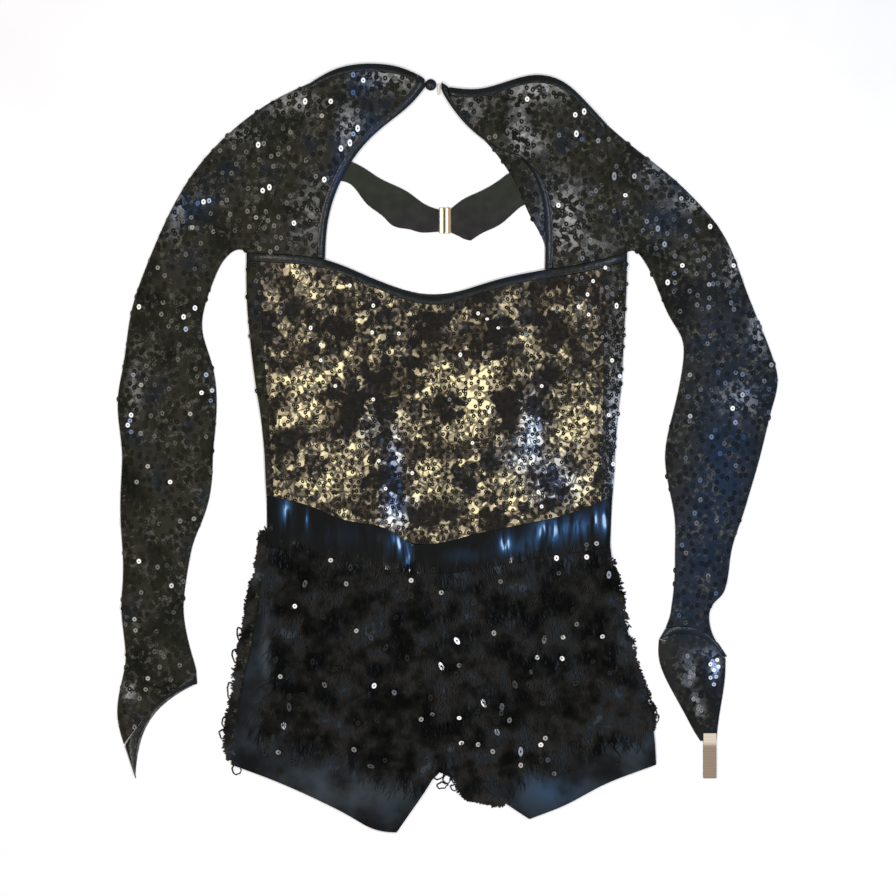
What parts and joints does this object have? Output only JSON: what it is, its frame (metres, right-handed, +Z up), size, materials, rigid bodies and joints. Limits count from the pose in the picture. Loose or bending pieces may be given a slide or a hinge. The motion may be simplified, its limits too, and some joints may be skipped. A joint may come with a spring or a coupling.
{
  "type": "sequin leotard",
  "caption": "Long-sleeved black sequinned dance leotard with short legs, a keyhole front, lace over gold lining, a wet-look waistband and fringed hips, laid flat.",
  "frame": {"origin": "centre of the laid garment's bounding box, on the surface it lies on", "axes": "+Y runs up the garment from the leg hems to the neck, +X to the viewer's right, which is the wearer's left, and +Z up from the surface through the garment's front"},
  "size_m": [0.5952, 0.6911, 0.0095],
  "materials": {
    "sequin_mesh": "black sequinned mesh",
    "gold_lace": "black sequinned lace over gold lining",
    "binding": "folded stretch binding",
    "wet_look": "glossy coated stretch cloth",
    "stretch_cloth": "smooth stretch cloth",
    "plain_cloth": "matte stretch cloth",
    "fringe": "yarn fringe",
    "gilt_metal": "gilt, polished",
    "clear_elastic": "clear",
    "elastic": "plain elastic"
  },
  "bodies": {
    "root": {"bodice_front": "gold_lace", "side_panel_left": "sequin_mesh", "side_panel_right": "sequin_mesh", "neckline_binding": "binding", "bodice_back": "sequin_mesh", "waistband_front_left": "wet_look", "waistband_front_right": "wet_look", "waistband_back": "wet_look", "shorts_front_left": "stretch_cloth", "shorts_front_right": "stretch_cloth", "shorts_back_left": "stretch_cloth", "shorts_back_right": "stretch_cloth", "yoke_front_left": "sequin_mesh", "yoke_front_right": "sequin_mesh", "keyhole_binding_left": "binding", "keyhole_binding_right": "binding", "neck_binding_left": "binding", "neck_binding_right": "binding", "yoke_back_left": "sequin_mesh", "yoke_back_right": "sequin_mesh", "sleeve_left": "sequin_mesh", "sleeve_right": "sequin_mesh", "cuff_binding_left": "binding", "cuff_binding_right": "binding", "cuff_point_right": "sequin_mesh", "finger_loop_right": "elastic", "back_strap_left": "plain_cloth", "back_strap_right": "plain_cloth", "clasp_left": "gilt_metal", "clasp_right": "gilt_metal", "neck_knob": "binding", "neck_loop": "clear_elastic", "fringe_left_1": "fringe", "fringe_left_2": "fringe", "fringe_left_3": "fringe", "fringe_left_4": "fringe", "fringe_right_1": "fringe", "fringe_right_2": "fringe", "fringe_right_3": "fringe", "fringe_right_4": "fringe", "fringe_back_side": "fringe", "fringe_back_crotch": "fringe"}
  },
  "joints": []
}
